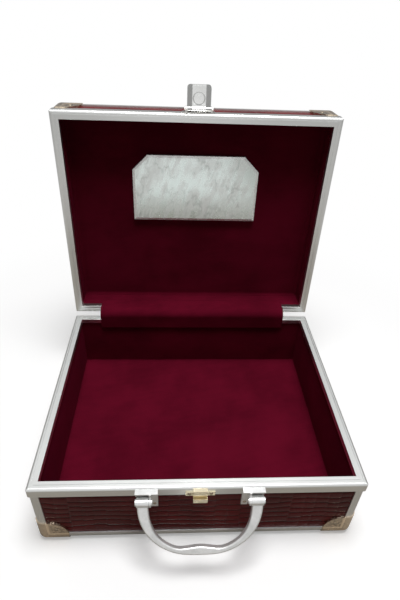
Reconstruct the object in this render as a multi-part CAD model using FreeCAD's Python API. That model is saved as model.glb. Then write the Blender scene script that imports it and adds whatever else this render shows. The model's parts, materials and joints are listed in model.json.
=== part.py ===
"""Aluminium framed jewellery case, covered in embossed leatherette and lined with velvet.

Millimetres, +Z up, +X to the right, front of the case towards -Y. The origin is the middle of the
base on the surface it stands on. The lid is modelled closed and then turned open about its hinge.
"""
import FreeCAD, Part
import math
import os

V = FreeCAD.Vector

# Case
CASE_W = 300.0
CASE_D = 245.0
BASE_H = 82.0
LID_H = 40.0
PARTING_GAP = 0.3
OPEN_ANGLE = 92.0

# Layers of a wall, from the outside in
FRAME_T = 1.3
LEATHER_T = 0.8
BOARD_T = 5.0
LINING_T = 0.9
RIM_INNER_T = 1.2

# Aluminium frame
FRAME_LEG = 10.0
FRAME_R = 7.0
RIM_FLANGE = 10.0
RIM_INNER = 6.0
RIM_TOP_T = 1.5
RIM_OUTER_R = 2.6
RIM_INNER_R = 0.5
RIM_CORNER_R = 2.5
GROOVE_W = 2.4
GROOVE_DEPTH = 0.7
TONGUE_W = 1.6
TONGUE_H = 0.6

# Corner caps
CAP_T = 0.9
CAP_LEG = 28.5
CAP_STRIP = 10.5
CAP_DISC_R = 18.5
CAP_RIVET_AT = 18.0
CAP_RIM_GAP = 0.2

# Rivets
RIVET_HEAD_R = 2.0
RIVET_HEAD_H = 0.8
RIVET_SHANK_R = 1.2
RIVET_GRIP = 5.0
FLANGE_RIVET_R = 1.6
HOLE_CLEAR = 0.05

# Stop hinges on the back
HINGE_X = 95.0
HINGE_L = 40.0
HINGE_OFF = 2.5
KNUCKLE_R = 2.4
KNUCKLE_MID = 15.0
KNUCKLE_GAP = 0.3
LEAF_T = 1.2
LEAF_H = 9.4
LEAF_NOTCH = 0.4
HINGE_PIN_R = 1.2
PIN_CLEAR = 0.05
PIN_PROUD = 0.6
LUG_REACH = 9.0
LUG_CLEAR = 0.9
LUG_WEB = 1.5
STOP_GAP = 0.1
HINGE_RIVET_X = 14.0

# Bail handle
PIVOT_DROP = 11.0
BAIL_OUT_X = 55.0
BAIL_OUT_DEPTH = 48.0
BAIL_OUT_POWER = 2.2
BAIL_IN_X = 45.1
BAIL_IN_DEPTH = 43.1
BAIL_IN_POWER = 2.5
BAIL_STEPS = 32
BAIL_T = 6.0
BAIL_EDGE_R = 1.4
GRIP_SWELL = 2.8
GRIP_HALF = 19.0
SWELL_POWER = 1.2
GRIP_DIP = 1.5
DIP_HALF = 26.0
DIP_POWER = 2.0
EYE_R = 4.3
EYE_CLEAR = 0.4
EYE_PROUD = 0.4
HANDLE_REST = 58.0
HANDLE_PIN_R = 1.7
HANDLE_PIN_HEAD_R = 3.0
HANDLE_PIN_HEAD_T = 0.9

# Handle brackets
BRACKET_T = 1.2
BRACKET_OUT = 56.6
BRACKET_IN = 37.0
BRACKET_EAR_T = 1.6
BRACKET_SIDE_GAP = 0.3
HOOD_REACH = 5.0
TAIL_W = 6.0
TAIL_L = 15.0
TAIL_RIVET_AT = 10.5
BRACKET_MARGIN = 0.6
TONGUE_STOP_FROM = 7.5
TONGUE_STOP_TO = 11.0
TONGUE_STOP_W = 5.0

# Latch on the lid and catch on the base
LATCH_W = 33.0
LATCH_T = 1.0
LATCH_H = 8.4
LATCH_UP = 4.9
PIVOT_OUT = 3.6
EAR_T = 1.6
EAR_R = 2.6
EAR_GAP = 0.3
FLAP_W = 24.0
FLAP_L = 22.5
FLAP_T = 1.2
FLAP_RAIL_W = 5.0
FLAP_RAIL_D = 3.6
FLAP_END_R = 3.0
BARREL_R = 2.3
BARREL_WEB = 4.0
LATCH_PIN_R = 1.0
FLAP_BOSS_R = 3.0
FLAP_BOSS_H = 0.7
FLAP_BOSS_AT = 9.6
FLAP_LIP_T = 1.2
CATCH_W = 26.0
CATCH_T = 1.0
WING_H = 5.0
BLOCK_OUT = 3.4
BLOCK_H = 5.8
NECK_OUT = 2.0
HOOK_W = 12.6
HOOK_REACH = 4.4
HOOK_H = 5.0
HOOK_TOP = 9.5
HOOK_CLEAR = 0.35
LATCH_RIVET_X = 9.0
CATCH_RIVET_X = 9.6

# Mirror
MIRROR_W = 144.0
MIRROR_H = 77.0
MIRROR_T = 4.0
MIRROR_BEVEL = 2.6
MIRROR_EDGE_T = 3.4
MIRROR_CLIP = 17.0
MIRROR_FROM_FRONT = 50.0
MIRROR_PAD_T = 1.0
MIRROR_PAD_INSET = 8.0

# Velvet strip over the hinge line
STRIP_HALF = 117.0
STRIP_T = 0.9
STRIP_CLEAR = 0.4
STRIP_R = 8.0
STRIP_DOWN = 13.0
STRIP_UP = 13.0

# Depths from the outer face of the frame
LEATHER_D = FRAME_T
BOARD_D = LEATHER_D + LEATHER_T
LINING_D = BOARD_D + BOARD_T
INNER_D = LINING_D + LINING_T
RIM_W = INNER_D + RIM_INNER_T

# Heights above the surface that a half of the case stands on
SKIN_Z = CAP_T + LEATHER_D
BOARD_Z = CAP_T + BOARD_D
LINING_Z = CAP_T + LINING_D
INNER_Z = CAP_T + INNER_D

# Hinge axis and the lid's own planes
AXIS_Y = CASE_D / 2 + HINGE_OFF
AXIS_Z = BASE_H + PARTING_GAP / 2
LID_RIM_Z = BASE_H + PARTING_GAP
LID_TOP_Z = LID_RIM_Z + LID_H

# One row per side: its length, the distance of its outer face, and its turn about Z
SIDES = {
    "front": (CASE_W, CASE_D / 2, 0.0),
    "right": (CASE_D, CASE_W / 2, 90.0),
    "rear": (CASE_W, CASE_D / 2, 180.0),
    "left": (CASE_D, CASE_W / 2, 270.0),
}

parts = {}


def box(x0, x1, y0, y1, z0, z1):
    """Box between two corners."""
    return Part.makeBox(x1 - x0, y1 - y0, z1 - z0, V(x0, y0, z0))


def rod(radius, start, end):
    """Cylinder from one point to another."""
    run = end - start
    return Part.makeCylinder(radius, run.Length, start, run)


def turned(shape, angle):
    """Copy turned about Z, in degrees."""
    copy = shape.copy()
    copy.rotate(V(0, 0, 0), V(0, 0, 1), angle)
    return copy


def mirrored(shape, normal):
    """Copy reflected in the plane through the origin with this normal."""
    return shape.mirror(V(0, 0, 0), normal)


def four_corners(shape):
    """A shape at the left front corner, and its images at the other three."""
    right = mirrored(shape, V(1, 0, 0))
    return [shape, right, mirrored(shape, V(0, 1, 0)), mirrored(right, V(0, 1, 0))]


def prism(points, along, start, end):
    """Flat outline given in the two axes across 'along', carried from start to end."""
    across = {"x": lambda a, b: V(start, a, b), "z": lambda a, b: V(a, b, start)}[along]
    corners = [across(a, b) for a, b in points]
    face = Part.Face(Part.makePolygon(corners + corners[:1]))
    length = end - start
    return face.extrude(V(length, 0, 0) if along == "x" else V(0, 0, length))


def rounded_wire(points, radii):
    """Open line through the points, with an arc of the given radius at each inner corner."""
    edges = []
    last = points[0]
    for before, corner, after, radius in zip(points, points[1:], points[2:], radii):
        back = (before - corner).normalize()
        ahead = (after - corner).normalize()
        half = back.getAngle(ahead) / 2
        reach = radius / math.tan(half)
        middle = (back + ahead).normalize()
        centre = corner + middle * (radius / math.sin(half))
        first = corner + back * reach
        edges.append(Part.makeLine(last, first))
        last = corner + ahead * reach
        edges.append(Part.Arc(first, centre - middle * radius, last).toShape())
    edges.append(Part.makeLine(last, points[-1]))
    return Part.Wire(edges)


def angle_face(point, leg, thickness, radius):
    """Section of a rounded angle extrusion: point(a, b) places the two distances from its corner."""
    bend = radius * (1 - math.sqrt(0.5))
    inner = radius - (radius - thickness) * math.sqrt(0.5)
    edges = [
        Part.makeLine(point(0, leg), point(0, radius)),
        Part.Arc(point(0, radius), point(bend, bend), point(radius, 0)).toShape(),
        Part.makeLine(point(radius, 0), point(leg, 0)),
        Part.makeLine(point(leg, 0), point(leg, thickness)),
        Part.makeLine(point(leg, thickness), point(radius, thickness)),
        Part.Arc(point(radius, thickness), point(inner, inner), point(thickness, radius)).toShape(),
        Part.makeLine(point(thickness, radius), point(thickness, leg)),
        Part.makeLine(point(thickness, leg), point(0, leg)),
    ]
    return Part.Face(Part.Wire(edges))


def fillet_along_x(solid, y, z, radius):
    """Round the edges that run along X through the point (y, z)."""
    picked = []
    for edge in solid.Edges:
        ends = [v.Point for v in edge.Vertexes]
        if len(ends) == 2 and all(abs(p.y - y) < 1e-4 and abs(p.z - z) < 1e-4 for p in ends):
            picked.append(edge)
    return solid.makeFillet(radius, picked)


def rivet(seat, outward, head_r=RIVET_HEAD_R):
    """Domed rivet: its head stands on the seat and its shank goes the other way."""
    ball_r = (head_r ** 2 + RIVET_HEAD_H ** 2) / (2 * RIVET_HEAD_H)
    ball = Part.makeSphere(ball_r, seat - outward * (ball_r - RIVET_HEAD_H))
    head = ball.common(Part.makeCylinder(head_r, RIVET_HEAD_H * 2, seat, outward))
    return head.fuse(rod(RIVET_SHANK_R, seat, seat - outward * RIVET_GRIP)).removeSplitter()


def rivet_hole(seat, outward):
    """Clearance hole for a rivet's shank."""
    deep = RIVET_GRIP + HOLE_CLEAR
    return rod(RIVET_SHANK_R + HOLE_CLEAR, seat + outward * RIVET_HEAD_H, seat - outward * deep)


def board_envelope(height):
    """Space that the boards of one half fill: a box, rounded where the frame is."""
    solid = box(-CASE_W / 2 + BOARD_D, CASE_W / 2 - BOARD_D, -CASE_D / 2 + BOARD_D,
                CASE_D / 2 - BOARD_D, BOARD_Z, height - RIM_TOP_T)
    low = [e for e in solid.Edges if all(abs(v.Z - BOARD_Z) < 1e-6 for v in e.Vertexes)]
    upright = [e for e in solid.Edges if abs(e.Vertexes[0].Z - e.Vertexes[1].Z) > 1.0]
    return solid.makeFillet(FRAME_R - BOARD_D, low + upright)


def rim_piece(length, offset, height, tongue):
    """Mitred channel over the top of one wall, rounded at the corners, with a groove or a tongue."""
    outer = -offset
    inner = outer + RIM_W
    middle = outer + RIM_W / 2
    half = (TONGUE_W if tongue else GROOVE_W) / 2
    line_z = height + TONGUE_H if tongue else height - GROOVE_DEPTH
    under = height - RIM_TOP_T
    outline = [
        (outer, height - RIM_FLANGE), (outer, height),
        (middle - half, height), (middle - half, line_z),
        (middle + half, line_z), (middle + half, height),
        (inner, height), (inner, height - RIM_INNER),
        (inner - RIM_INNER_T, height - RIM_INNER), (inner - RIM_INNER_T, under),
        (outer + FRAME_T, under), (outer + FRAME_T, height - RIM_FLANGE),
    ]
    bar = prism(outline, "x", -length / 2, length / 2)
    bar = fillet_along_x(bar, outer, height, RIM_OUTER_R)
    bar = fillet_along_x(bar, inner, height, RIM_INNER_R)
    plan = [
        (-length / 2, outer), (length / 2, outer),
        (length / 2 - RIM_W, inner), (-length / 2 + RIM_W, inner),
    ]
    whole = box(-length / 2, length / 2, -offset, offset, 0, height + TONGUE_H)
    upright = [e for e in whole.Edges if e.BoundBox.ZLength > height]
    whole = whole.makeFillet(RIM_CORNER_R, upright)
    return bar.common(prism(plan, "z", 0, height + TONGUE_H)).common(whole)


def edge_piece(length, offset):
    """Angle extrusion along one outer edge, between the corner posts."""
    run = length / 2 - FRAME_LEG
    face = angle_face(lambda a, b: V(-run, a - offset, CAP_T + b), FRAME_LEG, FRAME_T, FRAME_R)
    return face.extrude(V(2 * run, 0, 0))


def posts(height):
    """The four upright corner extrusions, from the edges to the rim."""
    foot = CAP_T + FRAME_LEG
    face = angle_face(lambda a, b: V(a - CASE_W / 2, b - CASE_D / 2, foot),
                      FRAME_LEG, FRAME_T, FRAME_R)
    return four_corners(face.extrude(V(0, 0, height - RIM_FLANGE - foot)))


def rounded_corner(start, radius):
    """Corner of a large box whose three edges at (start, start, start) are rounded."""
    size = CAP_LEG * 2
    solid = box(start, size, start, size, start, size)
    picked = []
    for edge in solid.Edges:
        if any((v.Point - V(start, start, start)).Length < 1e-6 for v in edge.Vertexes):
            picked.append(edge)
    return solid.makeFillet(radius, picked)


def cap_flap(low, high):
    """Outline of a cap on the face across Z: two strips along the edges and a rounded ear."""
    depth = high - low
    ear_at = V(CAP_STRIP, CAP_STRIP, low)
    flap = box(-CAP_T, CAP_LEG, -CAP_T, CAP_STRIP, low, high)
    flap = flap.fuse(box(-CAP_T, CAP_STRIP, -CAP_T, CAP_LEG, low, high))
    return flap.fuse(Part.makeCylinder(CAP_DISC_R, depth, ear_at, V(0, 0, 1), 90))


def on_three_faces(shape):
    """A shape made for the face across Z, and its images on the faces across X and Y."""
    images = [shape]
    for _ in range(2):
        image = images[-1].copy()
        image.rotate(V(0, 0, 0), V(1, 1, 1), 120)
        images.append(image)
    return images


def cap_at_origin():
    """Corner cap around the corner at the origin: a pressed shell with an ear on each face."""
    shell = rounded_corner(-CAP_T, FRAME_R + CAP_T).cut(rounded_corner(0, FRAME_R))
    flaps = on_three_faces(cap_flap(-CAP_T, CAP_STRIP))
    cap = shell.common(flaps[0].fuse(flaps[1:]))
    ear_from = FRAME_LEG + HOLE_CLEAR
    seat = box(ear_from, CAP_LEG, ear_from, CAP_LEG, 0, LEATHER_D)
    seat = seat.common(cap_flap(0, LEATHER_D))
    return cap.fuse(on_three_faces(seat)).removeSplitter()


def cap_rivets_at_origin(make, stands):
    """A rivet, or its hole, in each ear of the cap at the origin, but none in an ear it stands on."""
    rivets = on_three_faces(make(V(CAP_RIVET_AT, CAP_RIVET_AT, -CAP_T), V(0, 0, -1)))
    return rivets[1:] if stands else rivets


def at_corners(shapes):
    """Shapes made around the origin, moved to the four lower corners of a half."""
    placed = []
    for shape in shapes:
        copy = shape.copy()
        copy.translate(V(-CASE_W / 2, -CASE_D / 2, CAP_T))
        placed += four_corners(copy)
    return placed


def half_case(prefix, floor_name, height, is_lid):
    """All pieces of one half of the case, with its closed face down and its rim up."""
    made = {}
    envelope = board_envelope(height)
    wall_top = height - RIM_TOP_T
    for side, (length, offset, angle) in SIDES.items():
        along = length / 2 - (BOARD_D if side in ("front", "rear") else LINING_D)
        board = box(-along, along, -offset + BOARD_D, -offset + LINING_D, BOARD_Z, wall_top)
        made[f"{prefix}_{side}_board"] = turned(board, angle).common(envelope)
        along = length / 2 - FRAME_R
        skin = box(-along, along, -offset + LEATHER_D, -offset + BOARD_D, CAP_T + FRAME_R, wall_top)
        made[f"{prefix}_{side}_leather"] = turned(skin, angle)
        made[f"{prefix}_{side}_rim"] = turned(rim_piece(length, offset, height, is_lid), angle)
        made[f"{prefix}_{side}_edge"] = turned(edge_piece(length, offset), angle)

    def layer(depth, z0, z1):
        """Slab over the plan of the case, this far inside its outer face."""
        across = CASE_W / 2 - depth
        deep = CASE_D / 2 - depth
        return box(-across, across, -deep, deep, z0, z1)

    made[f"{prefix}_{floor_name}_board"] = layer(LINING_D, BOARD_Z, LINING_Z)
    made[f"{prefix}_{floor_name}_leather"] = layer(FRAME_R, SKIN_Z, BOARD_Z)
    made[f"{prefix}_{floor_name}_lining"] = layer(INNER_D, LINING_Z, INNER_Z)
    lining = layer(LINING_D, LINING_Z, wall_top)
    made[f"{prefix}_wall_lining"] = lining.cut(layer(INNER_D, LINING_Z, wall_top))
    made[f"{prefix}_posts"] = Part.makeCompound(posts(height))

    holes = Part.makeCompound(at_corners(cap_rivets_at_origin(rivet_hole, not is_lid)))
    below_rim = layer(-CAP_LEG, 0, height - RIM_FLANGE - CAP_RIM_GAP)
    caps = [cap.common(below_rim).cut(holes) for cap in at_corners([cap_at_origin()])]
    made[f"{prefix}_corner_caps"] = Part.makeCompound(caps)
    for name in made:
        if name.endswith("_board") or name.endswith("_leather"):
            made[name] = made[name].cut(holes)
    return made, at_corners(cap_rivets_at_origin(rivet, not is_lid))


def rivet_flange(rivets, names, points, outward):
    """Rivets through a plate and the rim behind it, with their holes."""
    holes = Part.makeCompound([rivet_hole(point, outward) for point in points])
    for name in names:
        parts[name] = parts[name].cut(holes)
    rivets += [rivet(point, outward, FLANGE_RIVET_R) for point in points]


def wall_layers(wall):
    """Names of the pieces that a rivet through a rim meets in this wall."""
    return [f"{wall}_rim", f"{wall}_leather", f"{wall}_board"]


def opened(shape):
    """A piece of the closed lid, turned to where the open lid rests."""
    copy = shape.copy()
    copy.rotate(V(0, AXIS_Y, AXIS_Z), V(-1, 0, 0), OPEN_ANGLE)
    return copy


def hinge_leaf(centre, is_lid):
    """Leaf on the back of a rim with its knuckles: two at the ends of the base's, one on the lid's."""
    sign = 1 if is_lid else -1
    near = KNUCKLE_R + LEAF_NOTCH
    back = CASE_D / 2

    def slab(x0, x1, y1, z0, z1):
        """Plate against the back face, with heights measured from the axis towards this leaf."""
        low, high = sorted((AXIS_Z + sign * z0, AXIS_Z + sign * z1))
        return box(centre + x0, centre + x1, back, y1, low, high)

    leaf = slab(-HINGE_L / 2, HINGE_L / 2, back + LEAF_T, near, LEAF_H)
    mid = KNUCKLE_MID / 2
    ends = HINGE_L / 2
    free = mid + KNUCKLE_GAP
    spans = [(-mid, mid)] if is_lid else [(-ends, -free), (free, ends)]
    for x0, x1 in spans:
        knuckle = rod(KNUCKLE_R, V(centre + x0, AXIS_Y, AXIS_Z), V(centre + x1, AXIS_Y, AXIS_Z))
        leaf = leaf.fuse([knuckle, slab(x0, x1, AXIS_Y, 0, near)])
    if not is_lid:
        leaf = leaf.fuse(stop_lug(centre))
    bore = rod(HINGE_PIN_R + PIN_CLEAR, V(centre - HINGE_L, AXIS_Y, AXIS_Z),
               V(centre + HINGE_L, AXIS_Y, AXIS_Z))
    return leaf.cut(bore).removeSplitter()


def stop_lug(centre):
    """Gusset behind the base leaf: the lid's leaf comes down on it when the lid is open."""
    turn = math.radians(OPEN_ANGLE)
    face = HINGE_OFF - LEAF_T

    def top(y):
        """Height of the open lid's leaf above the axis, at this distance behind it."""
        up = (y + face * math.cos(turn)) / math.sin(turn)
        return face * math.sin(turn) + up * math.cos(turn) - STOP_GAP

    near = KNUCKLE_R + LUG_CLEAR
    under = KNUCKLE_R + LEAF_NOTCH
    outline = [
        (-face, -LEAF_H), (LUG_REACH, top(LUG_REACH) - LUG_WEB), (LUG_REACH, top(LUG_REACH)),
        (near, top(near)), (near, -under), (-face, -under),
    ]
    placed = [(AXIS_Y + y, AXIS_Z + z) for y, z in outline]
    return prism(placed, "x", centre - KNUCKLE_MID / 2, centre + KNUCKLE_MID / 2)


def hinges(base_rivets, lid_rivets):
    """Two stop hinges: leaves, pins and rivets."""
    centres = (-HINGE_X, HINGE_X)
    parts["hinge_base_leaves"] = Part.makeCompound([hinge_leaf(c, False) for c in centres])
    parts["hinge_lid_leaves"] = Part.makeCompound([hinge_leaf(c, True) for c in centres])
    reach = HINGE_L / 2 + PIN_PROUD
    parts["hinge_pins"] = Part.makeCompound([
        rod(HINGE_PIN_R, V(c - reach, AXIS_Y, AXIS_Z), V(c + reach, AXIS_Y, AXIS_Z)) for c in centres])
    seat_y = CASE_D / 2 + LEAF_T
    drop = (KNUCKLE_R + LEAF_NOTCH + LEAF_H) / 2
    spots = [c + side * HINGE_RIVET_X for c in centres for side in (-1, 1)]
    rivet_flange(base_rivets, ["hinge_base_leaves"] + wall_layers("base_rear"),
                 [V(x, seat_y, AXIS_Z - drop) for x in spots], V(0, 1, 0))
    rivet_flange(lid_rivets, ["hinge_lid_leaves"] + wall_layers("lid_rear"),
                 [V(x, seat_y, AXIS_Z + drop) for x in spots], V(0, 1, 0))


def handle_pivot():
    """Middle of the handle's pivot axis."""
    return V(0, -CASE_D / 2 - BRACKET_T - EYE_CLEAR - EYE_R, BASE_H - PIVOT_DROP)


def swung(shape):
    """A bail shape made hanging straight down, turned out to where it rests."""
    copy = shape.copy()
    copy.rotate(handle_pivot(), V(-1, 0, 0), 90 - HANDLE_REST)
    return copy


def superellipse(half, depth, power):
    """Points (x, down) of a rounded U from its right top end to its left one."""
    points = []
    for step in range(BAIL_STEPS + 1):
        turn = math.pi * step / BAIL_STEPS
        across = math.copysign(abs(math.cos(turn)) ** (2 / power), math.cos(turn))
        points.append((half * across, depth * math.sin(turn) ** (2 / power)))
    return points


def hump(x, half, power):
    """1 in the middle, falling to 0 at this distance from it; a higher power makes it narrower."""
    return math.cos(math.pi * x / (2 * half)) ** power if abs(x) < half else 0.0


def smooth_edge(points):
    """Smooth curve through the points."""
    curve = Part.BSplineCurve()
    curve.interpolate(points)
    return curve.toShape()


def closed_face(first, second):
    """Face between two smooth edges that run the same way."""
    edges = [
        smooth_edge(first), Part.makeLine(first[-1], second[-1]),
        smooth_edge(second), Part.makeLine(second[0], first[0]),
    ]
    return Part.Face(Part.Wire(Part.__sortEdges__(edges)))


def bail_strap():
    """U of the bail, hanging from the origin: tapered legs, a swollen grip, and a dip along the grip."""
    outer = [V(x, 0, -s) for x, s in superellipse(BAIL_OUT_X, BAIL_OUT_DEPTH, BAIL_OUT_POWER)]
    inner = [V(x, 0, GRIP_SWELL * hump(x, GRIP_HALF, SWELL_POWER) - s)
             for x, s in superellipse(BAIL_IN_X, BAIL_IN_DEPTH, BAIL_IN_POWER)]
    depth = BAIL_T + GRIP_DIP
    loop = closed_face(outer, inner).extrude(V(0, 2 * depth, 0))
    loop.translate(V(0, -depth, 0))
    steps = [BAIL_OUT_X * 2 * i / BAIL_STEPS - BAIL_OUT_X for i in range(-1, BAIL_STEPS + 2)]
    back = [V(x, GRIP_DIP * hump(x, DIP_HALF, DIP_POWER) + BAIL_T / 2, BAIL_T) for x in steps]
    front = [point - V(0, BAIL_T, 0) for point in back]
    band = closed_face(front, back).extrude(V(0, 0, -BAIL_OUT_DEPTH - 2 * BAIL_T))
    strap = loop.common(band)
    return strap.makeFillet(BAIL_EDGE_R, [e for e in strap.Edges if e.Length > BAIL_IN_X])


def handle_bail():
    """The bail where it rests, with an eye on each leg for its pins."""
    strap = bail_strap()
    for side in (-1, 1):
        inner = V(side * (BAIL_IN_X - EYE_PROUD), 0, 0)
        strap = strap.fuse(rod(EYE_R, inner, V(side * (BAIL_OUT_X + EYE_PROUD), 0, 0)))
    reach = BAIL_OUT_X * 2
    strap = strap.cut(rod(HANDLE_PIN_R + PIN_CLEAR, V(-reach, 0, 0), V(reach, 0, 0)))
    strap.translate(handle_pivot())
    return swung(strap.removeSplitter())


def bracket_ear_x():
    """Outer face of a bracket's ear, beside the bail's eye."""
    return BAIL_IN_X - EYE_PROUD - BRACKET_SIDE_GAP


def seated_strip(x0, x1, z0):
    """Bracket metal that hangs below the rim and lies on the leather behind it."""
    face = -CASE_D / 2
    low = BASE_H - RIM_FLANGE
    return [box(x0, x1, face - BRACKET_T, face, z0, low),
            box(x0, x1, face, face + LEATHER_D, z0, low - HOLE_CLEAR)]


def handle_bracket():
    """Right hand bracket: plate on the rim, hood over the eye, inner ear, tail and stop tongue."""
    pivot = handle_pivot()
    face = -CASE_D / 2
    front = face - BRACKET_T
    top = BASE_H - BRACKET_MARGIN
    low = BASE_H - RIM_FLANGE
    bracket = box(BRACKET_IN, BRACKET_OUT, front, face, low, top)
    hood = box(BRACKET_IN, BRACKET_OUT, face - HOOD_REACH, face, top - BRACKET_T, top)
    ear_x = bracket_ear_x()
    ear = box(ear_x - BRACKET_EAR_T, ear_x, pivot.y, face, low, top)
    nose = rod(EYE_R, V(ear_x - BRACKET_EAR_T, pivot.y, pivot.z), V(ear_x, pivot.y, pivot.z))
    tail = seated_strip(BRACKET_IN, BRACKET_IN + TAIL_W, low - TAIL_L)
    bracket = bracket.fuse([hood, ear, nose] + tail + stop_tongue())
    bore = rod(HANDLE_PIN_R + PIN_CLEAR, V(0, pivot.y, pivot.z), V(CASE_W, pivot.y, pivot.z))
    return bracket.cut(bore).removeSplitter()


def stop_tongue():
    """Tongue behind the right hand leg: the leg rests on its slanting end."""
    pivot = handle_pivot()
    turn = math.radians(HANDLE_REST)
    along = V(0, -math.cos(turn), -math.sin(turn))
    behind = V(0, math.sin(turn), -math.cos(turn)) * (BAIL_T / 2 + STOP_GAP)
    upper = pivot + along * TONGUE_STOP_FROM + behind
    lower = pivot + along * TONGUE_STOP_TO + behind
    face = -CASE_D / 2
    outline = [(face, upper.z), (upper.y, upper.z), (lower.y, lower.z), (face, lower.z)]
    middle = (BAIL_IN_X + BAIL_OUT_X) / 2
    x0, x1 = middle - TONGUE_STOP_W / 2, middle + TONGUE_STOP_W / 2
    return seated_strip(x0, x1, lower.z) + [prism(outline, "x", x0, x1)]


def handle(base_rivets):
    """Bail, its two brackets and their pins."""
    pivot = handle_pivot()
    parts["handle_bail"] = handle_bail()
    right = handle_bracket()
    parts["handle_brackets"] = Part.makeCompound([mirrored(right, V(1, 0, 0)), right])
    ear_x = bracket_ear_x() - BRACKET_EAR_T
    out_x = BAIL_OUT_X + EYE_PROUD + BRACKET_SIDE_GAP
    pin = rod(HANDLE_PIN_R, V(ear_x, pivot.y, pivot.z), V(out_x, pivot.y, pivot.z))
    for x0, x1 in ((ear_x - HANDLE_PIN_HEAD_T, ear_x), (out_x, out_x + HANDLE_PIN_HEAD_T)):
        pin = pin.fuse(rod(HANDLE_PIN_HEAD_R, V(x0, pivot.y, pivot.z), V(x1, pivot.y, pivot.z)))
    pin = pin.removeSplitter()
    parts["handle_pins"] = Part.makeCompound([mirrored(pin, V(1, 0, 0)), pin])
    spot = BRACKET_IN + TAIL_W / 2
    height = BASE_H - RIM_FLANGE - TAIL_RIVET_AT
    rivet_flange(base_rivets, ["handle_brackets", "base_front_leather", "base_front_board"],
                 [V(side * spot, -CASE_D / 2 - BRACKET_T, height) for side in (-1, 1)], V(0, -1, 0))


def latch_pivot():
    """Middle of the flap's pin, with the lid closed."""
    return V(0, -CASE_D / 2 - PIVOT_OUT, LID_RIM_Z + LATCH_UP)


def latch_flap():
    """Pressed flap with side rails, standing straight out from the closed lid's front."""
    pivot = latch_pivot()
    skin = HOOK_REACH + CATCH_T + HOOK_CLEAR - PIVOT_OUT
    outer = skin + FLAP_T
    half = FLAP_W / 2

    def block(x0, x1, u0, u1, n0, n1):
        """Box by distance out from the pin and height towards the flap's outer face."""
        return box(x0, x1, pivot.y - u1, pivot.y - u0, pivot.z + n0, pivot.z + n1)

    plate = block(-half, half, 0, FLAP_L, skin, outer)
    far = [e for e in plate.Edges if e.BoundBox.XLength < 1e-6 and e.BoundBox.YLength < 1e-6
           and abs(e.Vertexes[0].Y - (pivot.y - FLAP_L)) < 1e-6]
    plate = plate.makeFillet(FLAP_END_R, far)
    web = block(-half, half, 0, BARREL_WEB, 0, outer)
    barrel = rod(BARREL_R, V(-half, pivot.y, pivot.z), V(half, pivot.y, pivot.z))
    rails = [block(x, x + FLAP_RAIL_W, BARREL_WEB, FLAP_L - FLAP_END_R, outer - FLAP_RAIL_D, outer)
             for x in (-half, half - FLAP_RAIL_W)]
    lip_from = LATCH_UP + PARTING_GAP + HOOK_TOP + HOOK_H + HOOK_CLEAR
    lip = block(-HOOK_W / 2, HOOK_W / 2, lip_from, lip_from + FLAP_LIP_T, skin - HOOK_REACH / 2, outer)
    boss = rod(FLAP_BOSS_R, V(0, pivot.y - FLAP_BOSS_AT, pivot.z + skin - FLAP_BOSS_H),
               V(0, pivot.y - FLAP_BOSS_AT, pivot.z + skin))
    flap = plate.fuse([web, barrel, lip, boss] + rails)
    bore = rod(LATCH_PIN_R + PIN_CLEAR, V(-FLAP_W, pivot.y, pivot.z), V(FLAP_W, pivot.y, pivot.z))
    return flap.cut(bore).removeSplitter()


def latch_plate():
    """Plate on the lid's front rim, with an ear at each end of the flap's pin and a stop above it."""
    pivot = latch_pivot()
    face = -CASE_D / 2
    low = LID_RIM_Z + BRACKET_MARGIN
    plate = box(-LATCH_W / 2, LATCH_W / 2, face - LATCH_T, face, low, low + LATCH_H)
    pieces = []
    for side in (-1, 1):
        x0, x1 = sorted((side * (FLAP_W / 2 + EAR_GAP), side * (FLAP_W / 2 + EAR_GAP + EAR_T)))
        pieces.append(box(x0, x1, pivot.y, face, pivot.z - EAR_R, pivot.z + EAR_R))
        pieces.append(rod(EAR_R, V(x0, pivot.y, pivot.z), V(x1, pivot.y, pivot.z)))
    over = pivot.z + HOOK_REACH + CATCH_T + HOOK_CLEAR - PIVOT_OUT + FLAP_T + STOP_GAP
    pieces.append(box(-HOOK_W / 2, HOOK_W / 2, pivot.y - BARREL_R, face, over, over + LATCH_T))
    bore = rod(LATCH_PIN_R + PIN_CLEAR, V(-LATCH_W, pivot.y, pivot.z), V(LATCH_W, pivot.y, pivot.z))
    return plate.fuse(pieces).cut(bore).removeSplitter()


def catch():
    """Catch on the base's front rim: two wings, a block at the top and a hook for the flap's lip."""
    face = -CASE_D / 2
    low = BASE_H - RIM_FLANGE
    top = BASE_H - BRACKET_MARGIN
    wings = box(-CATCH_W / 2, CATCH_W / 2, face - CATCH_T, face, low, low + WING_H)
    hook_z = BASE_H - HOOK_TOP
    front = face - CATCH_T - HOOK_REACH
    outline = [
        (face, top), (face - BLOCK_OUT, top), (face - BLOCK_OUT, top - BLOCK_H),
        (face - NECK_OUT, top - BLOCK_H), (face - NECK_OUT, hook_z), (front, hook_z),
        (front, hook_z - HOOK_H), (face, hook_z - HOOK_H),
    ]
    hook = prism(outline, "x", -HOOK_W / 2, HOOK_W / 2)
    foot = box(-HOOK_W / 2, HOOK_W / 2, face, face + LEATHER_D, hook_z - HOOK_H, low - HOLE_CLEAR)
    return wings.fuse([hook, foot]).removeSplitter()


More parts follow.
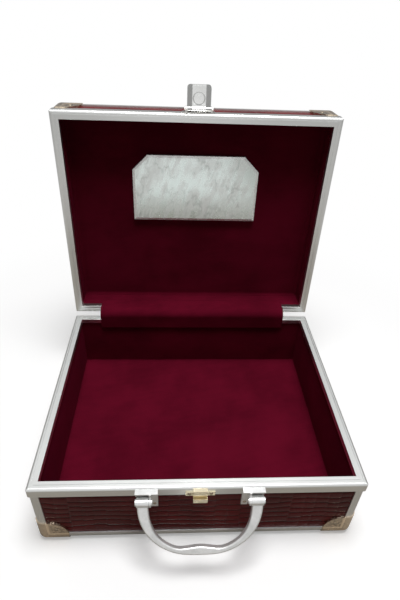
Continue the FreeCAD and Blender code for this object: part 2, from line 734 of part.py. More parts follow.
def latch(base_rivets, lid_rivets):
    """Flap, plate and pin on the closed lid, and the catch on the base."""
    pivot = latch_pivot()
    parts["latch_flap"] = latch_flap()
    parts["latch_plate"] = latch_plate()
    reach = FLAP_W / 2 + EAR_GAP + EAR_T + PIN_PROUD
    parts["latch_pin"] = rod(LATCH_PIN_R, V(-reach, pivot.y, pivot.z), V(reach, pivot.y, pivot.z))
    parts["catch"] = catch()
    above = pivot.z + EAR_R
    spots = [V(x, -CASE_D / 2 - LATCH_T, above) for x in (-LATCH_RIVET_X, LATCH_RIVET_X)]
    rivet_flange(lid_rivets, ["latch_plate"] + wall_layers("lid_front"), spots, V(0, -1, 0))
    level = BASE_H - RIM_FLANGE + WING_H / 2
    spots = [V(x, -CASE_D / 2 - CATCH_T, level) for x in (-CATCH_RIVET_X, CATCH_RIVET_X)]
    rivet_flange(base_rivets, ["catch"] + wall_layers("base_front"), spots, V(0, -1, 0))


def mirror_outline(inset):
    """Mirror's outline in plan: a rectangle with its two front corners clipped, drawn in by an inset."""
    half = MIRROR_W / 2 - inset
    front = -CASE_D / 2 + MIRROR_FROM_FRONT + inset
    rear = -CASE_D / 2 + MIRROR_FROM_FRONT + MIRROR_H - inset
    clip = MIRROR_CLIP - inset * (2 - math.sqrt(2))
    return [(-half + clip, front), (half - clip, front), (half, front + clip),
            (half, rear), (-half, rear), (-half, front + clip)]


def mirror():
    """Bevelled mirror on its pad, under the lid's panel."""
    panel = LID_TOP_Z - INNER_Z
    glass_top = panel - MIRROR_PAD_T
    edge_z = glass_top - MIRROR_EDGE_T
    face_z = glass_top - MIRROR_T

    def loop(inset, z):
        """The outline as a wire at a height."""
        corners = [V(x, y, z) for x, y in mirror_outline(inset)]
        return Part.makePolygon(corners + corners[:1])

    slab = prism(mirror_outline(0), "z", edge_z, glass_top)
    bevel = Part.makeLoft([loop(0, edge_z), loop(MIRROR_BEVEL, face_z)], True, True)
    parts["mirror"] = slab.fuse(bevel).removeSplitter()
    parts["mirror_pad"] = prism(mirror_outline(MIRROR_PAD_INSET), "z", glass_top, panel)


def hinge_strip():
    """Velvet over the hinge line: up the base's wall, round the fold and along the open lid's wall."""
    turn = math.radians(OPEN_ANGLE)
    wall = CASE_D / 2 - RIM_W - STRIP_CLEAR
    arm = AXIS_Y - wall
    along = V(0, math.sin(turn), math.cos(turn))
    lid_start = V(-STRIP_HALF, AXIS_Y - arm * math.cos(turn), AXIS_Z + arm * math.sin(turn))
    fold = lid_start - along * ((lid_start.y - wall) / along.y)
    foot = V(-STRIP_HALF, wall, BASE_H - STRIP_DOWN)
    head = lid_start + along * STRIP_UP
    inner = rounded_wire([foot, fold, head], [STRIP_R])
    foot_out = foot - V(0, STRIP_T, 0)
    head_out = head + V(0, -along.z, along.y) * STRIP_T
    rise = V(0, -along.z, along.y) * STRIP_T
    fold_out = fold + rise + along * ((wall - STRIP_T - fold.y - rise.y) / along.y)
    outer = rounded_wire([foot_out, fold_out, head_out], [STRIP_R + STRIP_T])
    ends = [Part.makeLine(foot, foot_out), Part.makeLine(head, head_out)]
    loop = Part.Wire(Part.__sortEdges__(inner.Edges + outer.Edges + ends))
    return Part.Face(loop).extrude(V(2 * STRIP_HALF, 0, 0))


def build():
    """Make every piece, the lid's ones in their open place."""
    base, base_rivets = half_case("base", "floor", BASE_H, False)
    lid, lid_rivets = half_case("lid", "top", LID_H, True)
    parts.update(base)
    for name, shape in lid.items():
        flipped = mirrored(shape, V(0, 0, 1))
        flipped.translate(V(0, 0, LID_TOP_Z))
        parts[name] = flipped
    lid_rivets = [mirrored(shape, V(0, 0, 1)) for shape in lid_rivets]
    for shape in lid_rivets:
        shape.translate(V(0, 0, LID_TOP_Z))
    hinges(base_rivets, lid_rivets)
    handle(base_rivets)
    latch(base_rivets, lid_rivets)
    mirror()
    parts["base_rivets"] = Part.makeCompound(base_rivets)
    parts["lid_rivets"] = Part.makeCompound(lid_rivets)
    for name in parts:
        if name.startswith(("lid_", "latch_", "mirror", "hinge_lid")):
            parts[name] = opened(parts[name])
    parts["hinge_strip"] = hinge_strip()


build()
os.makedirs("parts", exist_ok=True)
for node, shape in parts.items():
    shape.exportStep(f"parts/{node}.step")
print(f"{len(parts)} pieces")
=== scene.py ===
"""Looks of a jewellery case: embossed leatherette, velvet, satin frame and bright fittings.

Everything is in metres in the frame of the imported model. Pieces of the lid are worked out closed and
then turned open about the lid's hinge, as the model is.
"""

import json
import math

import bpy
import numpy as np
from bpy.props import FloatProperty, FloatVectorProperty, IntProperty, PointerProperty
from mathutils import Matrix, Vector


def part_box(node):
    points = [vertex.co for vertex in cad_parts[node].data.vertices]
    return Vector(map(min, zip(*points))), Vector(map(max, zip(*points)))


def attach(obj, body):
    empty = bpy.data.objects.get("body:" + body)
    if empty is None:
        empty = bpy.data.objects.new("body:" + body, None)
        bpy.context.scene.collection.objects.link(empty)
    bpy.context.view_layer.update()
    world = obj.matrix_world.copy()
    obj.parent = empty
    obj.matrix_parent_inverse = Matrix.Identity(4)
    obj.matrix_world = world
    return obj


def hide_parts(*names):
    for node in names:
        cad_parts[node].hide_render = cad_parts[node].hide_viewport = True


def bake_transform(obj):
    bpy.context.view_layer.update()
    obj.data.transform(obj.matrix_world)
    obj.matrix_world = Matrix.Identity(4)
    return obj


bl_info = {
    "name": "Jewellery Case",
    "version": (1, 0, 0),
    "blender": (4, 5, 0),
    "location": "View3D > Sidebar > Case",
    "description": "Dresses the framed jewellery case in leatherette, velvet and metal",
    "category": "Object",
}

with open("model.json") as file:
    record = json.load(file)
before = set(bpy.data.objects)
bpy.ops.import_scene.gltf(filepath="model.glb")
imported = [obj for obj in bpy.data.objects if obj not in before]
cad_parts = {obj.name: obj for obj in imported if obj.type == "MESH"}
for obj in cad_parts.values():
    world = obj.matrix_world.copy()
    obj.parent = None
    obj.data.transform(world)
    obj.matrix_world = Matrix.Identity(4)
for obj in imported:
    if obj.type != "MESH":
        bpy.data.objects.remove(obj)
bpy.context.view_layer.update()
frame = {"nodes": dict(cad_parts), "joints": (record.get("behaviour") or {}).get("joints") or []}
NODES = frame["nodes"]
LID_HINGE = next(j for j in frame["joints"] if j["name"] == "lid_hinge")

MM = 0.001
SIDES = ("front", "right", "rear", "left")
# Along, up and out of each outer face of the closed case
FACES = {
    "front": ((1, 0, 0), (0, 0, 1), (0, -1, 0)),
    "right": ((0, 1, 0), (0, 0, 1), (1, 0, 0)),
    "rear": ((-1, 0, 0), (0, 0, 1), (0, 1, 0)),
    "left": ((0, -1, 0), (0, 0, 1), (-1, 0, 0)),
    "top": ((-1, 0, 0), (0, -1, 0), (0, 0, 1)),
    "floor": ((1, 0, 0), (0, -1, 0), (0, 0, -1)),
}
# Width of a panel's border under the frame
FRAME_COVER = 3.0 * MM
# Mirror: legs of its clipped corners and width of its bevel
MIRROR_CLIP = 17.0 * MM
MIRROR_BEVEL = 2.6 * MM
# Latch flap: where its rails start, its boss from its end, and the ring pressed round the boss
RAIL_FROM = 7.0 * MM
RAIL_BLUR = 0.4 * MM
BOSS_FROM_END = 12.9 * MM
BOSS_RING = 5.6 * MM
RING_WIDTH = 0.4 * MM
RING_BLUR = 0.5 * MM
# Corner caps: distances from the nearest edge over which the border rises and falls and the ear starts
CAP_RISE = (8.6 * MM, 9.4 * MM)
CAP_FALL = (10.8 * MM, 11.8 * MM)
CAP_EAR = (11.5 * MM, 12.5 * MM)
# Shares of the way across and up a scale at which its surface is cut, and the heights there
COLUMN_SHARES = np.array([0.02, 0.1, 0.3, 0.7, 0.9, 0.98])
COLUMN_HEIGHTS = np.array([0.45, 0.93, 1.0, 1.0, 0.93, 0.45])
ROW_SHARES = np.array([0.04, 0.09, 0.15, 0.34, 0.66, 0.85, 0.91, 0.96])
ROW_HEIGHTS = np.array([0.0, 0.46, 0.8, 1.0, 1.0, 0.84, 0.5, 0.0])
# How far scales stray from an even lattice, in scales, and how often a new block of columns slips
SIDE_JITTER = 0.1
ROW_JITTER = 0.09
BLOCK_CHANCE = 0.24
BLOCK_SLIP = 0.42
COLUMN_SLIP = 0.08
LEAST_SWELL = 0.82
# Waves of the rows and columns, as height and length, and the border where they fade out
ROW_WAVE = (1.9 * MM, 95 * MM)
FINE_WAVE = (0.7 * MM, 42 * MM)
COLUMN_WAVE = (1.4 * MM, 150 * MM)
STILL_BORDER = 16 * MM
# Embossing of a panel: width over which it starts at the frame, how far it sinks, and the share of the
# sheet's thickness that a crease may take
EMBOSS_START = 1.8 * MM
EMBOSS_SUNK = 0.03 * MM
DEEPEST_SHARE = 0.9
# Uneven press: its mean, swing, least value and wavelength, and how it weakens towards the lid's hinge
PRESS_MEAN = 0.8
PRESS_SWING = 0.2
PRESS_LEAST = 0.2
PRESS_LENGTH = 130 * MM
WEAK_PRESS = 0.3
WEAK_PRESS_AT = -112 * MM
FULL_PRESS_AT = -70 * MM
# Shares of a cove's width at which it is cut, and its height for its width
COVE_SHARES = np.array([0.0, 0.1, 0.22, 0.36, 0.54, 0.76, 1.0])
COVE_RISE = 0.55
# Velvet panels: step of the grid and wavelength of the uneven pile
PANEL_STEP = 2.4 * MM
PANEL_PILE = 34 * MM
# Velvet bands: step along, corner radius, rows, swell and the share of the height it takes, and pile
BAND_STEP = 4 * MM
BAND_CORNER_R = 1.6 * MM
BAND_ROWS = 22
BAND_SWELL = 0.5 * MM
BAND_SWELL_SHARE = 0.88
BAND_PILE = 40 * MM
# Velvet hinge strip: step across, first step at its ends, thickness, bend radius, cuts and pile
STRIP_STEP = 3.0 * MM
STRIP_END = 0.5 * MM
STRIP_T = 0.9 * MM
STRIP_BEND_R = 8.9 * MM
STRIP_CUTS = 14
STRIP_BACK_CUTS = 16
STRIP_PILE = 26 * MM
# How far the strip's ends are tucked in, and over what length
STRIP_TUCK = 0.4 * MM
STRIP_TUCK_REACH = 3 * MM
# Places on the two large panels where rows crowd together: u, v, spread along, spread up, pull
CROWDS = np.array([
    [48 * MM, 52 * MM, 30 * MM, 44 * MM, 0.46],
    [46 * MM, -46 * MM, 36 * MM, 38 * MM, 0.4],
    [-108 * MM, -58 * MM, 26 * MM, 34 * MM, 0.4],
])
# Overhead softbox: its place, what it faces and its size
LAMP_PLACE = (0.06, -0.07, 1.3)
LAMP_TARGET = (0.0, 0.0, 0.05)
LAMP_SIZE = 0.5
# Floor: its reach and depth, and the distances over which it turns white for the camera and for metal,
# which sees less of that beside the case
FLOOR_REACH = 30.0
FLOOR_DROP = 0.2 * MM
SEEN_FADE = (0.24, 0.55)
SHINY_FADE = (0.34, 0.62)
SHINY_LIGHT = 0.92
BESIDE_FADE = (0.11, 0.24)
BESIDE_CUT = 0.5
# Sky: brightness overhead for metal, ranges over which it, the fill and the light from behind grow, and
# a bright card in front that only metal sees
SKY_LIGHT = 0.86
SKY_RISE = (0.22, 0.78)
FILL_RISE = (-0.1, 0.6)
BACK_RISE = (0.0, 0.8)
CARD_TOWARDS = (0.0, -0.98, 0.2)
CARD_EDGE = (0.8, 0.97)
CARD_LIGHT = 0.5


def opening():
    """Matrix that turns a piece of the closed lid to where the open lid rests."""
    pivot = Matrix.Translation(Vector(LID_HINGE["pos_m"]))
    turn = Matrix.Rotation(-math.radians(LID_HINGE["range_deg"][0]), 4, Vector(LID_HINGE["axis"]))
    return pivot @ turn @ pivot.inverted()


REST = {"base": Matrix.Identity(4), "lid": opening()}


def moved(points, matrix):
    """Points, one per row, through a matrix."""
    m = np.array(matrix)
    return points @ m[:3, :3].T + m[:3, 3]


def closed_box(node, half):
    """Lowest and highest corner of a node with the case closed."""
    mesh = NODES[node].data
    points = np.empty(len(mesh.vertices) * 3)
    mesh.vertices.foreach_get("co", points)
    points = moved(points.reshape(-1, 3), REST[half].inverted())
    return points.min(0), points.max(0)


# Shapes


def wave_noise(u, v, length, seed, count=6):
    """Smooth noise near -1 to 1: the mean of sines in seeded directions, each about this wavelength."""
    rng = np.random.default_rng(seed)
    turn = rng.uniform(0, 2 * np.pi, count)
    phase = rng.uniform(0, 2 * np.pi, count)
    pitch = 2 * np.pi / (length * rng.uniform(0.7, 1.4, count))
    along = u[..., None] * np.cos(turn) + v[..., None] * np.sin(turn)
    return np.sin(along * pitch + phase).mean(-1) * 1.8


def waved(u, v, wave, seed):
    """Smooth noise of a height and length."""
    height, length = wave
    return height * wave_noise(u, v, length, seed)


def smooth(low, high, value):
    """0 below low, 1 above high, and the cubic 3t^2 - 2t^3 between."""
    t = np.clip((value - low) / (high - low), 0, 1)
    return t * t * (3 - 2 * t)


def scale_lattice(reach_u, reach_v, sizes, seed, crowds):
    """Crocodile scales over a panel: grids of u, v and a height from 0 to 1.

    Columns and rows of scales are cut at fixed shares, close together at the creases. Seeded jitters move the
    edges of each scale, and blocks of columns slip out of step. Rows wave, and each crowd (a, b, s, t, k)
    draws them in: v - k(v - b)exp(-((u - a)/s)^2 - ((v - b)/t)^2). All of this fades out at the border.
    """
    rng = np.random.default_rng(seed)
    columns = max(2, round(2 * reach_u / sizes.scale_width))
    rows = max(2, round(2 * reach_v / sizes.scale_height))
    column = np.repeat(np.arange(columns), len(COLUMN_SHARES))
    row = np.repeat(np.arange(rows), len(ROW_SHARES))
    side_jitter = np.pad(rng.uniform(-SIDE_JITTER, SIDE_JITTER, columns - 1), 1)
    row_jitter = np.pad(rng.uniform(-ROW_JITTER, ROW_JITTER, (rows - 1, columns)), ((1, 1), (0, 0)))
    block = np.cumsum(rng.random(columns) < BLOCK_CHANCE)
    slip = rng.uniform(-BLOCK_SLIP, BLOCK_SLIP, columns + 1)[block]
    slip = slip + rng.uniform(-COLUMN_SLIP, COLUMN_SLIP, columns)
    left, right = column + side_jitter[column], column + 1 + side_jitter[column + 1]
    across = left + (right - left) * np.tile(COLUMN_SHARES, columns)
    low = row[:, None] + row_jitter[row][:, column]
    high = row[:, None] + 1 + row_jitter[row + 1][:, column]
    up = low + (high - low) * np.tile(ROW_SHARES, rows)[:, None]
    u = np.broadcast_to((2 * across / columns - 1) * reach_u, up.shape)
    v = (2 * up / rows - 1) * reach_v
    free = smooth(0, STILL_BORDER, np.minimum(reach_u - np.abs(u), reach_v - np.abs(v)))
    wave = waved(u, v, ROW_WAVE, seed + 1) + waved(u, v, FINE_WAVE, seed + 2)
    v = v + free * (slip[column] * sizes.scale_height + wave)
    for a, b, s, t, k in crowds:
        v = v - free * k * (v - b) * np.exp(-((u - a) / s) ** 2 - ((v - b) / t) ** 2)
    u = u + free * waved(u, v, COLUMN_WAVE, seed + 3)
    swell = rng.uniform(LEAST_SWELL, 1.0, (rows, columns))[row][:, column]
    height = np.tile(ROW_HEIGHTS, rows)[:, None] * np.tile(COLUMN_HEIGHTS, columns) * swell
    return u, v, height


def with_border(u, v, height, cover):
    """The same grids with one more line of height 0 all round, this far out, to go under the frame."""
    reach_u, reach_v = np.abs(u).max() + cover, np.abs(v).max() + cover
    u, v = np.pad(u, 1, mode="edge"), np.pad(v, 1, mode="edge")
    u[:, 0], u[:, -1] = -reach_u, reach_u
    v[0], v[-1] = -reach_v, reach_v
    return u, v, np.pad(height, 1)


def spaced(low, high, cover, step):
    """Low, even steps from low + cover to high - cover, and high."""
    count = max(2, round((high - low - 2 * cover) / step) + 1)
    inner = np.linspace(low + cover, high - cover, count)
    return np.concatenate([[low], inner, [high]])


def edged(half, near, step):
    """From -half to half: lines at the distances 'near' from both ends, and about even steps between."""
    reach = half - near[-1]
    middle = np.linspace(-reach, reach, max(2, round(2 * reach / step) + 1))
    return np.concatenate([near[:-1] - half, middle, half - near[-2::-1]])


def new_piece(name, points, faces, finish, relief=None):
    """Object from points and faces, smooth shaded, with an optional 'relief' value on each point."""
    mesh = bpy.data.meshes.new(name)
    mesh.from_pydata(points.tolist(), [], faces)
    mesh.polygons.foreach_set("use_smooth", np.ones(len(mesh.polygons), bool))
    if relief is not None:
        mesh.attributes.new("relief", "FLOAT", "POINT").data.foreach_set("value", relief.astype(np.float32))
    mesh.update()
    piece = bpy.data.objects.new(name, mesh)
    bpy.context.scene.collection.objects.link(piece)
    mesh.materials.append(finish)
    return piece


def grid_faces(rows, columns):
    """Point numbers of a grid: round its border once, and its quads."""
    ids = np.arange(rows * columns).reshape(rows, columns)
    loop = np.concatenate([ids[0, :-1], ids[:-1, -1], ids[-1, :0:-1], ids[:0:-1, 0]])
    quads = np.stack([ids[:-1, :-1], ids[:-1, 1:], ids[1:, 1:], ids[1:, :-1]], -1).reshape(-1, 4)
    return loop, quads


def slab(axes, origin, u, v, lift, depth):
    """Points and faces of a closed sheet.

    The front is origin + u*along + v*up + lift*out on a grid, the back rim is the grid's border at -depth,
    and a fan from the back's middle closes it.
    """
    along, up, out = (np.array(a, float) for a in axes)
    front = origin + u[..., None] * along + v[..., None] * up + lift[..., None] * out
    loop, quads = grid_faces(*u.shape)
    flat_front = front.reshape(-1, 3)
    rim = flat_front[loop] - (lift.ravel()[loop] + depth)[:, None] * out
    points = np.concatenate([flat_front, rim, rim.mean(0)[None]])
    back = u.size + np.arange(len(loop))
    walls = np.stack([loop, back, np.roll(back, -1), np.roll(loop, -1)], -1)
    fan = np.stack([np.full(len(loop), len(points) - 1), np.roll(back, -1), back], -1)
    return points, quads.tolist() + walls.tolist() + fan.tolist()


def face_of(node, half, side):
    """Outer face of a sheet node: its axes, middle, half length, half height and thickness."""
    low, high = closed_box(node, half)
    along, up, out = (np.array(a, float) for a in FACES[side])
    size = high - low
    thick = abs(out @ size)
    return FACES[side], (low + high) / 2 + out * thick / 2, abs(along @ size) / 2, abs(up @ size) / 2, thick


def border(u, v):
    """Distance of each grid point from the sheet's edge."""
    return np.minimum(u.max() - np.abs(u), v.max() - np.abs(v))


def rounded_loop(half_x, half_y, radius, step):
    """Anticlockwise rounded rectangle about the origin: points and outward normals, one per row."""
    points, normals = [], []
    signs = ((1, -1), (1, 1), (-1, 1), (-1, -1))
    for corner, (sx, sy) in enumerate(signs):
        angle = np.linspace(-90, 0, 7) + 90 * corner
        normal = np.stack([np.cos(np.radians(angle)), np.sin(np.radians(angle))], -1)
        arc = np.array([sx * (half_x - radius), sy * (half_y - radius)]) + radius * normal
        run = 2 * ((half_y if corner % 2 == 0 else half_x) - radius)
        ahead = np.array([-normal[-1, 1], normal[-1, 0]])
        count = max(2, round(run / step))
        side = arc[-1] + np.linspace(0, run, count + 1)[1:-1, None] * ahead
        points += [arc, side]
        normals += [normal, np.repeat(normal[-1:], len(side), 0)]
    return np.concatenate(points), np.concatenate(normals)


def carried(path, section_out, section_up, normals):
    """A closed section carried round a closed path: path + normal*out, raised by up, both on a grid."""
    count = len(path)
    rows = section_out.shape[0]
    flat = path[None] + normals[None] * section_out[..., None]
    points = np.concatenate([flat, section_up[..., None]], -1).reshape(-1, 3)
    ids = np.arange(rows * count).reshape(rows, count)
    beside, above = np.roll(ids, -1, 1), np.roll(ids, -1, 0)
    both = np.roll(above, -1, 1)
    return points, np.stack([ids, beside, both, above], -1).reshape(-1, 4).tolist()


# Shader maths


class Value:
    """A shader socket that can be used in expressions: each operator adds a Math node."""

    def __init__(self, finish, socket):
        self.finish = finish
        self.socket = socket

    def math(self, operation, *values):
        """Math node on these values."""
        return self.finish.node("ShaderNodeMath", {"operation": operation}, dict(enumerate(values)))

    def __add__(self, other):
        return self.math("ADD", self, other)

    def __sub__(self, other):
        return self.math("SUBTRACT", self, other)

    def __rsub__(self, other):
        return self.math("SUBTRACT", other, self)

    def __mul__(self, other):
        return self.math("MULTIPLY", self, other)

    __radd__ = __add__
    __rmul__ = __mul__

    def absolute(self):
        """Size without its sign."""
        return self.math("ABSOLUTE", self)

    def root(self):
        """Square root."""
        return self.math("SQRT", self)

    def least(self, other):
        """The smaller of two values."""
        return self.math("MINIMUM", self, other)

    def most(self, other):
        """The larger of two values."""
        return self.math("MAXIMUM", self, other)

    def ramp(self, low, high):
        """0 below low and 1 above high, smoothly."""
        inputs = {"Value": self, "From Min": low, "From Max": high}
        return self.finish.node("ShaderNodeMapRange", {"interpolation_type": "SMOOTHSTEP"}, inputs)


class Graph:
    """A node tree under construction."""

    def __init__(self, tree):
        self.tree = tree

    def put(self, socket, value):
        """Link a value to a socket, or set the socket to a number, colour or vector."""
        if isinstance(value, Value):
            self.tree.links.new(value.socket, socket)
            return
        socket.default_value = value

    def node(self, kind, settings, inputs, output=0):
        """Any node: its settings are set first, then its sockets by name or number."""
        made = self.tree.nodes.new(kind)
        for name, value in settings.items():
            setattr(made, name, value)
        for name, value in inputs.items():
            self.put(made.inputs[name], value)
        return Value(self, made.outputs[output])

    def seen(self):
        """Two values that are 1 for rays from the camera, and for rays off something shiny."""
        camera = self.node("ShaderNodeLightPath", {}, {}, "Is Camera Ray")
        shiny = self.node("ShaderNodeLightPath", {}, {}, "Is Glossy Ray")
        return camera, shiny

    def place(self):
        """Object coordinates."""
        return self.node("ShaderNodeTexCoord", {}, {}, "Object")

    def dot(self, vector, axis):
        """Dot product of a vector with an axis."""
        return self.node("ShaderNodeVectorMath", {"operation": "DOT_PRODUCT"}, {0: vector, 1: axis}, "Value")

    def part(self, vector, letter):
        """One of a vector's three numbers, X, Y or Z."""
        return self.node("ShaderNodeSeparateXYZ", {}, {0: vector}, letter)

    def noise(self, vector, scale, detail=3.0, rough=0.55):
        """Noise from 0 to 1 on a vector."""
        inputs = {"Vector": vector, "Scale": scale, "Detail": detail, "Roughness": rough}
        return self.node("ShaderNodeTexNoise", {}, inputs)

    def attribute(self, name):
        """Value kept on the piece's points."""
        return self.node("ShaderNodeAttribute", {"attribute_name": name}, {}, "Fac")

    def mix(self, share, a, b):
        """Colour from a to b."""
        return self.node("ShaderNodeMix", {"data_type": "RGBA"}, {0: share, 6: a, 7: b}, 2)

    def along(self, vector, direction, cross_scale, along_scale):
        """Coordinates scaled apart along and across a direction, for drawn or brushed metal."""
        d = Vector(direction).normalized()
        a = d.orthogonal().normalized()
        axes = {"X": a * cross_scale, "Y": d.cross(a) * cross_scale, "Z": d * along_scale}
        parts = {letter: self.dot(vector, axis) for letter, axis in axes.items()}
        return self.node("ShaderNodeCombineXYZ", {}, parts)

    def closed_axis(self, vector, half, axis):
        """One coordinate of the closed case, from object coordinates of the open one."""
        row = REST[half].inverted()[axis]
        return self.dot(vector, Vector(row[:3])) + row[3]

    def closed_gap(self, vector, half, axis, low, high):
        """Distance inside the nearer of two planes across an axis of the closed case."""
        centred = self.closed_axis(vector, half, axis) - (low + high) / 2
        return (high - low) / 2 - centred.absolute()

    def bump(self, height, distance, strength=1.0):
        """Normal from a height."""
        inputs = {"Height": height, "Distance": distance, "Strength": strength}
        return self.node("ShaderNodeBump", {}, inputs, "Normal")


class Finish(Graph):
    """A material under construction."""

    def __init__(self, name):
        self.material = bpy.data.materials.new(name)
        self.material.use_nodes = True
        super().__init__(self.material.node_tree)
        self.tree.nodes.clear()
        self.shader = self.tree.nodes.new("ShaderNodeBsdfPrincipled")
        out = self.tree.nodes.new("ShaderNodeOutputMaterial")
        self.tree.links.new(self.shader.outputs[0], out.inputs["Surface"])

    def done(self, **sockets):
        """Fill the shader's sockets, named with _ for a space, and give the material."""
        for name, value in sockets.items():
            self.put(self.shader.inputs[name.replace("_", " ")], value)
        return self.material


def shade(colour, factor):
    """Colour times a factor, with alpha 1."""
    return (*(min(1.0, c * factor) for c in colour[:3]), 1.0)


def leatherette(sizes):
    """Glossy leatherette: painted shade in the creases, uneven dye and fine pores in the bump."""
    f = Finish("embossed_leatherette")
    place = f.place()
    relief = f.attribute("relief")
    cloud = f.noise(place, 22.0, 4.0)
    pores = f.noise(place, 1500.0, 2.0)
    dye = f.mix(cloud.ramp(0.3, 0.72), shade(sizes.leather_colour, 0.75), shade(sizes.leather_colour, 1.2))
    # Painted shade: where the relief is low, in the creases, the colour is darkened.
    tone = f.mix(relief.ramp(0.0, 0.35), shade(sizes.leather_colour, 0.4), dye)
    return f.done(
        Base_Color=tone,
        Roughness=0.21 + 0.12 * cloud - 0.05 * relief,
        Normal=f.bump(pores, 0.05 * MM, 0.3),
        Specular_IOR_Level=0.13,
    )


def velvet(sizes):
    """Short pile velvet: brushed patches of light and dark nap, a fibrous bump and a red sheen."""
    f = Finish("lining_velvet")
    place = f.place()
    patch = f.noise(place, 16.0, 3.0, 0.6)
    pile = f.noise(place, 900.0, 3.0, 0.7)
    brushed = f.noise(f.along(place, (1.0, 0.25, 0.1), 190.0, 26.0), 1.0, 3.0)
    nap = 0.6 * patch + 0.15 * brushed + 0.25 * pile
    tone = f.mix(nap.ramp(0.34, 0.66), shade(sizes.velvet_colour, 0.78), shade(sizes.velvet_colour, 1.2))
    return f.done(
        Base_Color=tone,
        Roughness=0.88 + 0.1 * pile,
        Normal=f.bump(pile, 0.25 * MM, 0.6),
        Specular_IOR_Level=0.02,
        Sheen_Weight=0.05,
        Sheen_Roughness=0.45,
        Sheen_Tint=shade((0.6, 0.03, 0.12), 1.0),
    )


def drawn_aluminium(name, colour, direction, rough):
    """Satin extrusion: fine draw lines along its length, slight stains and dulled patches."""
    f = Finish(name)
    place = f.place()
    lines = f.noise(f.along(place, direction, 2600.0, 14.0), 1.0, 4.0, 0.7)
    bands = f.noise(f.along(place, direction, 420.0, 5.0), 1.0, 2.0)
    stain = f.noise(place, 28.0, 4.0, 0.6)
    tone = f.mix(0.6 * bands + 0.4 * stain, shade(colour, 0.86), shade(colour, 1.08))
    return f.done(
        Base_Color=tone,
        Metallic=1.0,
        Roughness=rough - 0.08 + 0.12 * lines + 0.1 * stain,
        Normal=f.bump(lines, 0.02 * MM, 0.5),
    )


def plated(name, colour, rough, pits, metal=1.0):
    """Bright plated pressing: soft ripple of the thin metal, rubbed haze and fine pits."""
    f = Finish(name)
    place = f.place()
    ripple = f.noise(place, 110.0, 2.0)
    haze = f.noise(place, 60.0, 5.0, 0.65)
    grain = f.noise(place, pits, 2.0)
    tone = f.mix(haze.ramp(0.3, 0.75), shade(colour, 0.8), shade(colour, 1.06))
    return f.done(
        Base_Color=tone,
        Metallic=metal,
        Roughness=rough + 0.16 * haze.ramp(0.45, 0.8) + 0.05 * grain,
        Normal=f.bump(0.9 * ripple + 0.06 * grain, 0.12 * MM, 0.5),
    )


def pressed_caps(name, colour, half, low, high):
    """Plated corner caps with a pressed border painted lighter as a highlight, and a hammered ear with
    painted shade in the grooves between its dents.

    The middle one of a point's three distances from the sides of the closed half's box is its distance from
    the nearest edge on the face that it lies on.
    """
    f = Finish(name)
    place = f.place()
    gaps = [f.closed_gap(place, half, axis, low[axis], high[axis]) for axis in range(3)]
    nearer = gaps[0].least(gaps[1])
    farther = gaps[0].most(gaps[1])
    edge = nearer.most(farther.least(gaps[2]))
    step = edge.ramp(*CAP_RISE) - edge.ramp(*CAP_FALL)
    cells = f.node("ShaderNodeTexVoronoi", {}, {"Vector": place, "Scale": 400.0}, "Distance")
    hammer_and_shade = cells * edge.ramp(*CAP_EAR)
    haze = f.noise(place, 60.0, 5.0, 0.65)
    tone = f.mix(haze.ramp(0.3, 0.75), shade(colour, 0.72), shade(colour, 1.1))
    # Painted shade: the grooves between the hammer dents are darkened.
    tone = f.mix(hammer_and_shade.ramp(0.25, 0.8), tone, shade(colour, 0.5))
    # Painted highlight: the pressed border is lightened.
    return f.done(
        Base_Color=f.mix(step, tone, shade(colour, 1.25)),
        Metallic=1.0,
        Roughness=0.2 + 0.16 * haze.ramp(0.45, 0.8),
        Normal=f.bump(1.2 * step - 1.4 * hammer_and_shade, 0.4 * MM, 0.7),
    )


def pressed_flap(colour, end):
    """Bright latch flap, rougher on the two rails along its sides, with painted shade on the rails and in a
    ring pressed round its boss.
    """
    f = Finish("flap_plate")
    place = f.place()
    across = f.part(place, "X")
    rail = across.absolute().ramp(RAIL_FROM - RAIL_BLUR, RAIL_FROM + RAIL_BLUR)
    along = f.closed_axis(place, "lid", 1) - float(end + BOSS_FROM_END)
    spread = (across * across + along * along).root()
    ring_out = BOSS_RING + RING_WIDTH
    ring = spread.ramp(BOSS_RING - RING_BLUR, BOSS_RING) - spread.ramp(ring_out, ring_out + RING_BLUR)
    haze = f.noise(place, 60.0, 5.0, 0.65)
    tone = f.mix(haze.ramp(0.3, 0.75), shade(colour, 0.94), shade(colour, 1.06))
    # Painted shade: the pressed ring is darkened.
    tone = f.mix(0.7 * ring, tone, shade(colour, 0.5))
    # Painted shade: the rails are darkened.
    return f.done(
        Base_Color=f.mix(rail, tone, shade(colour, 0.45)),
        Metallic=1.0,
        Roughness=0.14 + 0.1 * haze + 0.2 * rail,
        Normal=f.bump(haze - 2.0 * ring, 0.08 * MM, 0.4),
    )


